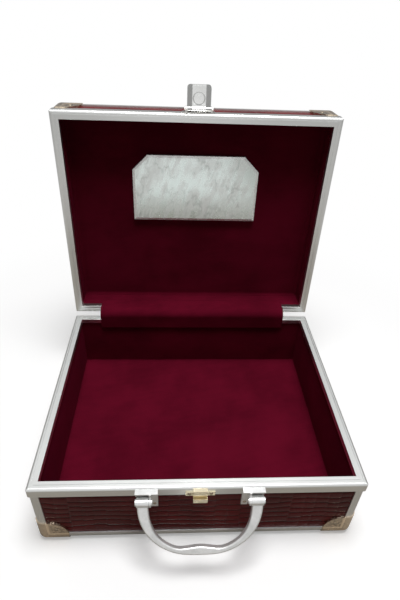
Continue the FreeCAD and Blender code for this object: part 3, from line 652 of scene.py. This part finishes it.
def mirror_glass(low, high):
    """Silvered glass under a wrinkled protective film, with a ground bevel.

    A point's distance from the edge is the least of its distances from the sides of the box and from the two
    clipped corners, (a + b - clip) / sqrt(2) where a and b are the distances from the two sides beside them.
    """
    f = Finish("silvered_glass")
    place = f.place()
    cloud = f.noise(place, 38.0, 5.0, 0.6)
    streak = f.noise(f.along(place, (0.35, 0.1, 1.0), 160.0, 26.0), 1.0, 4.0)
    veil = (0.55 * cloud + 0.45 * streak).ramp(0.36, 0.64)
    fold = f.noise(f.along(place, (0.3, 0.1, 1.0), 85.0, 48.0), 1.0, 3.0, 0.5) - 0.5
    crease = (1 - fold.absolute().ramp(0.0, 0.05)) * cloud.ramp(0.4, 0.62)
    side, end = (f.closed_gap(place, "lid", axis, low[axis], high[axis]) for axis in (0, 1))
    corner = (side + (f.closed_axis(place, "lid", 1) - float(low[1] + MIRROR_CLIP))) * math.sqrt(0.5)
    edge = side.least(end).least(corner)
    ground = 1 - edge.ramp(MIRROR_BEVEL - 0.3 * MM, MIRROR_BEVEL)
    film = f.mix(veil, (0.73, 0.82, 0.79, 1.0), (0.945, 0.995, 0.975, 1.0))
    film = f.mix(0.4 * crease, film, (0.38, 0.44, 0.41, 1.0))
    return f.done(
        Base_Color=f.mix(ground, film, (0.97, 0.98, 0.97, 1.0)),
        Metallic=(0.82 - 0.3 * veil) * (1 - 0.3 * ground),
        Roughness=0.06 + 0.2 * veil + 0.1 * ground,
        Coat_Weight=0.6,
        Coat_Roughness=0.02,
    )


def hardboard():
    """Pressed fibre board: speckled brown fibres."""
    f = Finish("hardboard")
    place = f.place()
    fibre = f.noise(place, 700.0, 5.0, 0.7)
    blotch = f.noise(place, 40.0, 3.0)
    tone = f.mix(0.6 * fibre + 0.4 * blotch, (0.2, 0.12, 0.06, 1.0), (0.5, 0.34, 0.2, 1.0))
    return f.done(Base_Color=tone, Roughness=0.75 + 0.2 * fibre, Normal=f.bump(fibre, 0.2 * MM, 0.5))


def foam():
    """Black foam pad with open cells."""
    f = Finish("foam_pad")
    cells = f.node("ShaderNodeTexVoronoi", {}, {"Vector": f.place(), "Scale": 900.0}, "Distance")
    tone = f.mix(cells, (0.01, 0.01, 0.01, 1.0), (0.06, 0.06, 0.06, 1.0))
    return f.done(Base_Color=tone, Roughness=0.9 + 0.05 * cells, Normal=f.bump(cells, 0.2 * MM, 0.6))


def dress(node, finish):
    """Give a CAD node its finish in every slot."""
    materials = NODES[node].data.materials
    materials.clear()
    materials.append(finish)


def drawn_direction(half, axis):
    """Length direction of an extrusion in the open case."""
    return REST[half].to_3x3() @ Vector(axis)


# What a user may change


class CaseSizes(bpy.types.PropertyGroup):
    """Sizes and colours of the leatherette, the velvet and the metal."""

    scale_width: FloatProperty(
        name="Scale width", description="Usual width of an embossed scale",
        default=11.0 * MM, min=4 * MM, unit="LENGTH")
    scale_height: FloatProperty(
        name="Scale height", description="Usual height of an embossed scale",
        default=8.4 * MM, min=3 * MM, unit="LENGTH")
    relief: FloatProperty(
        name="Relief", description="Depth of the creases between scales",
        default=0.64 * MM, min=0.0, max=0.75 * MM, unit="LENGTH")
    crown: FloatProperty(
        name="Crown", description="How far the scales stand out of the sheet",
        default=0.2 * MM, min=0.0, max=0.5 * MM, unit="LENGTH")
    seed: IntProperty(name="Seed", description="Chooses the layout of the scales", default=11)
    cove: FloatProperty(
        name="Cove", description="Width of the soft turn where a flat lining meets the walls",
        default=4.0 * MM, min=1.0 * MM, unit="LENGTH")
    pile_softness: FloatProperty(
        name="Softness", description="Unevenness of the velvet's surface",
        default=0.18 * MM, min=0.0, unit="LENGTH")
    leather_colour: FloatVectorProperty(
        name="Leatherette", description="Colour of the leatherette", subtype="COLOR",
        default=(0.132, 0.0052, 0.0085), min=0.0, max=1.0)
    velvet_colour: FloatVectorProperty(
        name="Velvet", description="Colour of the velvet", subtype="COLOR",
        default=(0.115, 0.0038, 0.016), min=0.0, max=1.0)
    frame_colour: FloatVectorProperty(
        name="Frame", description="Colour of the aluminium frame", subtype="COLOR",
        default=(0.78, 0.79, 0.78), min=0.0, max=1.0)
    nickel_colour: FloatVectorProperty(
        name="Nickel", description="Colour of the plated fittings", subtype="COLOR",
        default=(0.76, 0.63, 0.48), min=0.0, max=1.0)
    steel_colour: FloatVectorProperty(
        name="Steel", description="Colour of the latch and the hinges", subtype="COLOR",
        default=(0.74, 0.73, 0.7), min=0.0, max=1.0)
    brass_colour: FloatVectorProperty(
        name="Brass", description="Colour of the catch", subtype="COLOR",
        default=(0.85, 0.76, 0.56), min=0.0, max=1.0)


class CaseStage(bpy.types.PropertyGroup):
    """Camera, lamp, sky and floor."""

    lens: FloatProperty(
        name="Lens", description="Focal length for a 36 mm sensor along the long side",
        default=27.05, min=5.0)
    camera_place: FloatVectorProperty(
        name="Camera", description="Place of the camera", subtype="TRANSLATION",
        default=(-0.0236, -0.3442, 0.4418))
    camera_turn: FloatVectorProperty(
        name="Camera turn", description="Yaw, pitch down and roll of the camera", subtype="EULER",
        default=(math.radians(3.99), math.radians(35.62), math.radians(2.66)))
    key_power: FloatProperty(name="Key", description="Power of the overhead softbox in watts", default=12.2)
    fill_light: FloatProperty(name="Fill", description="Strength of the soft light from above", default=0.11)
    back_light: FloatProperty(name="Back", description="Strength of the soft light from behind", default=0.32)
    horizon_light: FloatProperty(
        name="Horizon", description="Brightness that metal reflects near the horizon", default=0.3)
    floor_lift: FloatProperty(
        name="Floor lift", description="Light added where the floor is seen, to make it white", default=0.3)
    floor_colour: FloatVectorProperty(
        name="Floor", description="Colour of the floor", subtype="COLOR",
        default=(0.88, 0.88, 0.88), min=0.0, max=1.0)
    table_colour: FloatVectorProperty(
        name="Table", description="Colour of the light that the floor throws back on the case",
        subtype="COLOR", default=(0.44, 0.405, 0.355), min=0.0, max=1.0)


# Operators


class CASE_OT_leatherette(bpy.types.Operator):
    """Emboss the leatherette panels of both halves"""

    bl_idname = "case.leatherette"
    bl_label = "Leatherette panels"

    def execute(self, context):
        sizes = context.scene.case_sizes
        finish = leatherette(sizes)
        panels = [(half, side) for half in REST for side in SIDES] + [("lid", "top"), ("base", "floor")]
        for number, (half, side) in enumerate(panels):
            node = f"{half}_{side}_leather"
            axes, origin, reach_u, reach_v, thick = face_of(node, half, side)
            inner = reach_u - FRAME_COVER, reach_v - FRAME_COVER
            crowds = CROWDS if side in ("top", "floor") else ()
            lattice = scale_lattice(*inner, sizes, sizes.seed + 7 * number, crowds)
            u, v, scales = with_border(*lattice, FRAME_COVER)
            shown = smooth(FRAME_COVER, FRAME_COVER + EMBOSS_START, border(u, v))
            press = PRESS_MEAN + PRESS_SWING * wave_noise(u, v, PRESS_LENGTH, sizes.seed + number)
            if side == "top":
                press = press * (WEAK_PRESS + (1 - WEAK_PRESS) * smooth(WEAK_PRESS_AT, FULL_PRESS_AT, v))
            height = scales * np.clip(press, PRESS_LEAST, 1.0)
            lift = shown * (sizes.crown - sizes.relief * (1 - height)) - EMBOSS_SUNK
            points, faces = slab(axes, origin, u, v, np.maximum(lift, -DEEPEST_SHARE * thick), thick)
            tail = len(points) - height.size
            relief = np.concatenate([height.ravel(), np.zeros(tail)])
            piece = new_piece(f"{node}_embossed", moved(points, REST[half]), faces, finish, relief)
            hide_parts(node)
            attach(piece, half)
        return {"FINISHED"}


class CASE_OT_linings(bpy.types.Operator):
    """Line both halves with velvet: a panel on the flat face and a band round the walls"""

    bl_idname = "case.linings"
    bl_label = "Velvet linings"

    def execute(self, context):
        sizes = context.scene.case_sizes
        finish = velvet(sizes)
        for half, flat_side, inward in (("base", "floor", 1), ("lid", "top", -1)):
            self.flat_panel(half, flat_side, inward, sizes, finish)
            self.wall_band(half, flat_side, inward, sizes, finish)
        return {"FINISHED"}

    def flat_panel(self, half, side, inward, sizes, finish):
        """Panel with a slightly uneven pile, turned up at the walls: rise * (1 - distance / cove)^2."""
        node = f"{half}_{side}_lining"
        low, high = closed_box(node, half)
        size = high - low
        axes = ((1, 0, 0), (0, inward, 0), (0, 0, inward))
        u, v = np.meshgrid(*(edged(length / 2, COVE_SHARES * sizes.cove, PANEL_STEP) for length in size[:2]))
        cove = sizes.cove * COVE_RISE * (1 - np.minimum(border(u, v) / sizes.cove, 1)) ** 2
        lift = sizes.pile_softness * wave_noise(u, v, PANEL_PILE, sizes.seed + 40) + cove
        face = high[2] if inward > 0 else low[2]
        origin = np.array([0, (low[1] + high[1]) / 2, face])
        points, faces = slab(axes, origin, u, v, lift, size[2])
        piece = new_piece(f"{node}_velvet", moved(points, REST[half]), faces, finish)
        self.finish_piece(piece, node, half)

    def wall_band(self, half, flat_side, inward, sizes, finish):
        """Band round the four walls: its section is a thin loop, swollen a little at mid height."""
        node = f"{half}_wall_lining"
        low, high = closed_box(node, half)
        flat_high = closed_box(f"{half}_{flat_side}_lining", half)[1]
        thick = abs(flat_high[0] - high[0])
        half_x, half_y = (high[0] - low[0]) / 2, (high[1] - low[1]) / 2
        path, normals = rounded_loop(half_x, half_y, BAND_CORNER_R, BAND_STEP)
        up = np.linspace(low[2], high[2], BAND_ROWS)
        rise = (up - low[2]) / (high[2] - low[2])
        free = rise if inward > 0 else 1 - rise
        swell = BAND_SWELL * np.sin(np.pi * np.clip(free / BAND_SWELL_SHARE, 0, 1)) ** 2
        run = np.cumsum(np.linalg.norm(np.diff(path, axis=0, prepend=path[-1:]), axis=1))
        across, height = np.meshgrid(run, up)
        soft = sizes.pile_softness * wave_noise(across, height, BAND_PILE, sizes.seed + 41)
        taper = np.sin(np.pi * rise)[:, None]
        inner = -thick - swell[:, None] - soft * taper
        outer = np.zeros((2, len(path)))
        section_out = np.concatenate([inner, outer])
        section_up = np.concatenate([height, np.repeat([[up[-1]], [up[0]]], len(path), 1)])
        points, faces = carried(path, section_out, section_up, normals)
        points[:, 1] += (low[1] + high[1]) / 2
        piece = new_piece(f"{node}_velvet", moved(points, REST[half]), [f[::-1] for f in faces], finish)
        length = 4 * (half_x + half_y)
        high[2] - low[2]
        self.finish_piece(piece, node, half)

    def finish_piece(self, piece, node, half):
        """Stand for the node and move with its half."""
        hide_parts(node)
        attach(piece, half)


class CASE_OT_hinge_fold(bpy.types.Operator):
    """Fold the velvet strip over the hinge line"""

    bl_idname = "case.hinge_fold"
    bl_label = "Velvet hinge strip"

    def execute(self, context):
        sizes = context.scene.case_sizes
        low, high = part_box("hinge_strip")
        bend = STRIP_BEND_R
        reach = (high.x - low.x) / 2
        leg_up = np.stack([np.full(STRIP_CUTS, low.y), np.linspace(low.z, high.z - bend, STRIP_CUTS)], -1)
        angle = np.radians(np.linspace(180, 90, STRIP_CUTS))[1:-1]
        arc = np.stack([low.y + bend + bend * np.cos(angle), high.z - bend + bend * np.sin(angle)], -1)
        lean = math.tan(-math.radians(LID_HINGE["range_deg"][0]) - math.pi / 2)
        back = np.linspace(low.y + bend, high.y, STRIP_BACK_CUTS)
        leg_back = np.stack([back, high.z - lean * (back - back[0])], -1)
        line = np.concatenate([leg_up, arc, leg_back])
        ahead = np.gradient(line, axis=0)
        ahead /= np.linalg.norm(ahead, axis=1)[:, None]
        proud = np.stack([-ahead[:, 1], ahead[:, 0]], -1)
        run = np.concatenate([[0], np.cumsum(np.linalg.norm(np.diff(line, axis=0), axis=1))])
        x = spaced(-reach, reach, STRIP_END, STRIP_STEP)
        across, along = np.meshgrid(x, run)
        soft = sizes.pile_softness * wave_noise(across, along, STRIP_PILE, sizes.seed + 50)
        middle = np.sin(np.pi * along / run[-1])
        ends = 1 - smooth(0, STRIP_TUCK_REACH, reach - np.abs(across))
        lift = soft * middle - STRIP_TUCK * ends

        def layer(depth):
            """Surface at a depth behind the strip's front."""
            out = line[:, None] + proud[:, None] * (lift - depth)[..., None]
            return np.concatenate([across[..., None], out], -1).reshape(-1, 3)

        loop, quads = grid_faces(*across.shape)
        rear = quads[:, [0, 3, 2, 1]] + across.size
        ahead_loop = np.roll(loop, -1)
        walls = np.stack([loop, loop + across.size, ahead_loop + across.size, ahead_loop], -1)
        faces = quads.tolist() + rear.tolist() + walls.tolist()
        points = np.concatenate([layer(0), layer(STRIP_T)])
        piece = new_piece("hinge_strip_velvet", points, faces, bpy.data.materials["lining_velvet"])
        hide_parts("hinge_strip")
        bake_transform(piece)
        return {"FINISHED"}


class CASE_OT_frame_metal(bpy.types.Operator):
    """Finish the aluminium rims, edges and posts, each drawn along its own length"""

    bl_idname = "case.frame_metal"
    bl_label = "Aluminium frame"

    def execute(self, context):
        colour = context.scene.case_sizes.frame_colour
        for half in REST:
            for axis, sides in (((1, 0, 0), ("front", "rear")), ((0, 1, 0), ("left", "right"))):
                direction = drawn_direction(half, axis)
                rim = drawn_aluminium(f"{half}_{sides[0]}_rim_satin", colour, direction, 0.28)
                edge = drawn_aluminium(f"{half}_{sides[0]}_edge_satin", shade(colour, 0.92), direction, 0.4)
                for side in sides:
                    dress(f"{half}_{side}_rim", rim)
                    dress(f"{half}_{side}_edge", edge)
            upright = drawn_direction(half, (0, 0, 1))
            dress(f"{half}_posts", drawn_aluminium(f"{half}_post_satin", shade(colour, 0.92), upright, 0.4))
        return {"FINISHED"}


class CASE_OT_fittings(bpy.types.Operator):
    """Plate the corner caps, rivets, hinges, latch, catch, brackets and the bail handle"""

    bl_idname = "case.fittings"
    bl_label = "Bright fittings"

    def execute(self, context):
        sizes = context.scene.case_sizes
        nickel = sizes.nickel_colour
        for half in REST:
            caps = f"{half}_corner_caps"
            dress(caps, pressed_caps(f"{half}_cap_nickel", nickel, half, *self.half_box(half)))
        finishes = {
            plated("rivet_plate", shade(nickel, 0.5), 0.3, 2200.0): ["base_rivets", "lid_rivets"],
            plated("fitting_plate", sizes.steel_colour, 0.2, 1800.0): [
                "latch_plate", "latch_pin", "hinge_base_leaves", "hinge_lid_leaves", "hinge_pins"],
            pressed_flap(shade(sizes.frame_colour, 1.2), closed_box("latch_flap", "lid")[0][1]): [
                "latch_flap"],
            plated("catch_plate", sizes.brass_colour, 0.22, 1800.0): ["catch"],
            plated("handle_bright", shade(sizes.frame_colour, 1.22), 0.26, 1600.0, 0.6): [
                "handle_bail", "handle_brackets", "handle_pins"],
        }
        for finish, nodes in finishes.items():
            for node in nodes:
                dress(node, finish)
        return {"FINISHED"}

    def half_box(self, half):
        """Box of a half's outer faces with the case closed, from its rims and edges."""
        boxes = [closed_box(f"{half}_{side}_{kind}", half) for side in SIDES for kind in ("rim", "edge")]
        return np.min([b[0] for b in boxes], 0), np.max([b[1] for b in boxes], 0)


class CASE_OT_mirror(bpy.types.Operator):
    """Silver the mirror and blacken its pad"""

    bl_idname = "case.mirror"
    bl_label = "Mirror"

    def execute(self, context):
        dress("mirror", mirror_glass(*closed_box("mirror", "lid")))
        dress("mirror_pad", foam())
        return {"FINISHED"}


class CASE_OT_boards(bpy.types.Operator):
    """Give the boards inside the walls their fibre finish"""

    bl_idname = "case.boards"
    bl_label = "Boards"

    def execute(self, context):
        finish = hardboard()
        for node in NODES:
            if node.endswith("_board"):
                dress(node, finish)
        return {"FINISHED"}


class CASE_OT_stage(bpy.types.Operator):
    """Set up the pale floor, the soft light and the camera"""

    bl_idname = "case.stage"
    bl_label = "Stage"

    def execute(self, context):
        stage = context.scene.case_stage
        context.scene.view_settings.view_transform = "Standard"
        self.floor(stage)
        self.world(context.scene, stage)
        self.lamp("key_softbox", LAMP_PLACE, LAMP_TARGET, LAMP_SIZE, stage.key_power)
        self.camera(context.scene, stage)
        return {"FINISHED"}

    def floor(self, stage):
        """Wide plane that keeps the case's shadow, lifted to white where it is seen and white far away."""
        far = FLOOR_REACH
        corners = np.array([[-far, -far, 0], [far, -far, 0], [far, far, 0], [-far, far, 0]])
        corners[:, 2] = -FLOOR_DROP
        f = Finish("pale_floor")
        place = f.place()
        mottle = f.noise(place, 6.0, 2.0)
        camera, shiny = f.seen()
        distance = f.node("ShaderNodeVectorMath", {"operation": "LENGTH"}, {0: place}, "Value")
        beside = f.part(place, "X").absolute().ramp(*BESIDE_FADE)
        shown = shiny * distance.ramp(*SHINY_FADE) * (SHINY_LIGHT - BESIDE_CUT * beside)
        away = camera * distance.ramp(*SEEN_FADE) + shown
        tone = f.mix(mottle, shade(stage.floor_colour, 0.99), shade(stage.floor_colour, 1.01))
        tone = f.mix(camera, shade(stage.table_colour, 1.0), tone)
        lift = f.mix(camera, shade((0, 0, 0), 1.0), shade((1, 1, 1), stage.floor_lift))
        new_piece("pale_floor", corners, [[0, 1, 2, 3]], f.done(
            Base_Color=f.mix(away, tone, shade((0, 0, 0), 1.0)),
            Roughness=0.9,
            Specular_IOR_Level=0.0,
            Emission_Color=f.mix(away, lift, shade((1, 1, 1), 1.0)),
            Emission_Strength=1.0,
        ))

    def world(self, scene, stage):
        """White for the camera, a dim fill, and for metal a light that grows from the horizon upwards."""
        world = bpy.data.worlds.new("studio")
        world.use_nodes = True
        g = Graph(world.node_tree)
        camera, shiny = g.seen()
        direction = g.node("ShaderNodeTexCoord", {}, {}, "Generated")
        height = g.part(direction, "Z")
        overhead = stage.horizon_light + (SKY_LIGHT - stage.horizon_light) * height.ramp(*SKY_RISE)
        mirrored = overhead + CARD_LIGHT * g.dot(direction, CARD_TOWARDS).ramp(*CARD_EDGE)
        behind = g.part(direction, "Y")
        fill = stage.fill_light * height.ramp(*FILL_RISE) + stage.back_light * behind.ramp(*BACK_RISE)
        level = fill + shiny * (mirrored - fill)
        sky = g.tree.nodes["Background"]
        sky.inputs["Color"].default_value = (1.0, 1.0, 1.0, 1.0)
        g.put(sky.inputs["Strength"], level + camera * (1.0 - level))
        scene.world = world

    def lamp(self, name, place, target, size, power):
        """Square soft lamp at a place, facing a target."""
        light = bpy.data.lights.new(name, "AREA")
        light.size = size
        light.energy = power
        lamp = bpy.data.objects.new(name, light)
        lamp.location = place
        lamp.rotation_euler = (Vector(target) - Vector(place)).to_track_quat("-Z", "Y").to_euler()
        bpy.context.scene.collection.objects.link(lamp)

    def camera(self, scene, stage):
        """Camera from its yaw, pitch and roll."""
        yaw, pitch, roll = stage.camera_turn
        ahead = Vector((math.sin(yaw) * math.cos(pitch), math.cos(yaw) * math.cos(pitch), -math.sin(pitch)))
        right = Vector((math.cos(yaw), -math.sin(yaw), 0.0))
        up = right.cross(ahead)
        rolled_right = math.cos(roll) * right + math.sin(roll) * up
        rolled_up = math.cos(roll) * up - math.sin(roll) * right
        turn = Matrix((rolled_right, rolled_up, -ahead)).transposed().to_4x4()
        lens = bpy.data.cameras.new("photo_view")
        lens.sensor_width = 36.0
        lens.lens = stage.lens
        lens.clip_start = 0.01
        camera = bpy.data.objects.new("photo_view", lens)
        camera.matrix_world = Matrix.Translation(Vector(stage.camera_place)) @ turn
        scene.collection.objects.link(camera)
        scene.camera = camera


class CASE_PT_sidebar(bpy.types.Panel):
    """Steps that dress the case"""

    bl_label = "Jewellery case"
    bl_idname = "CASE_PT_sidebar"
    bl_space_type = "VIEW_3D"
    bl_region_type = "UI"
    bl_category = "Case"

    def draw(self, context):
        for operator in OPERATORS:
            self.layout.operator(operator.bl_idname)
        for group in (context.scene.case_sizes, context.scene.case_stage):
            for name in group.__annotations__:
                self.layout.prop(group, name)


OPERATORS = (
    CASE_OT_stage, CASE_OT_leatherette, CASE_OT_linings, CASE_OT_hinge_fold, CASE_OT_frame_metal,
    CASE_OT_fittings, CASE_OT_mirror, CASE_OT_boards,
)
CLASSES = (CaseSizes, CaseStage, *OPERATORS, CASE_PT_sidebar)


def register():
    """Add the classes and hang the settings on the scene."""
    for cls in CLASSES:
        bpy.utils.register_class(cls)
    bpy.types.Scene.case_sizes = PointerProperty(type=CaseSizes)
    bpy.types.Scene.case_stage = PointerProperty(type=CaseStage)


def unregister():
    """Take them away again."""
    del bpy.types.Scene.case_stage
    del bpy.types.Scene.case_sizes
    for cls in reversed(CLASSES):
        bpy.utils.unregister_class(cls)


def main():
    """Register and run each step in order."""
    register()
    bpy.ops.case.stage()
    bpy.ops.case.leatherette()
    bpy.ops.case.linings()
    bpy.ops.case.hinge_fold()
    bpy.ops.case.frame_metal()
    bpy.ops.case.fittings()
    bpy.ops.case.mirror()
    bpy.ops.case.boards()


if __name__ == "__main__":
    main()
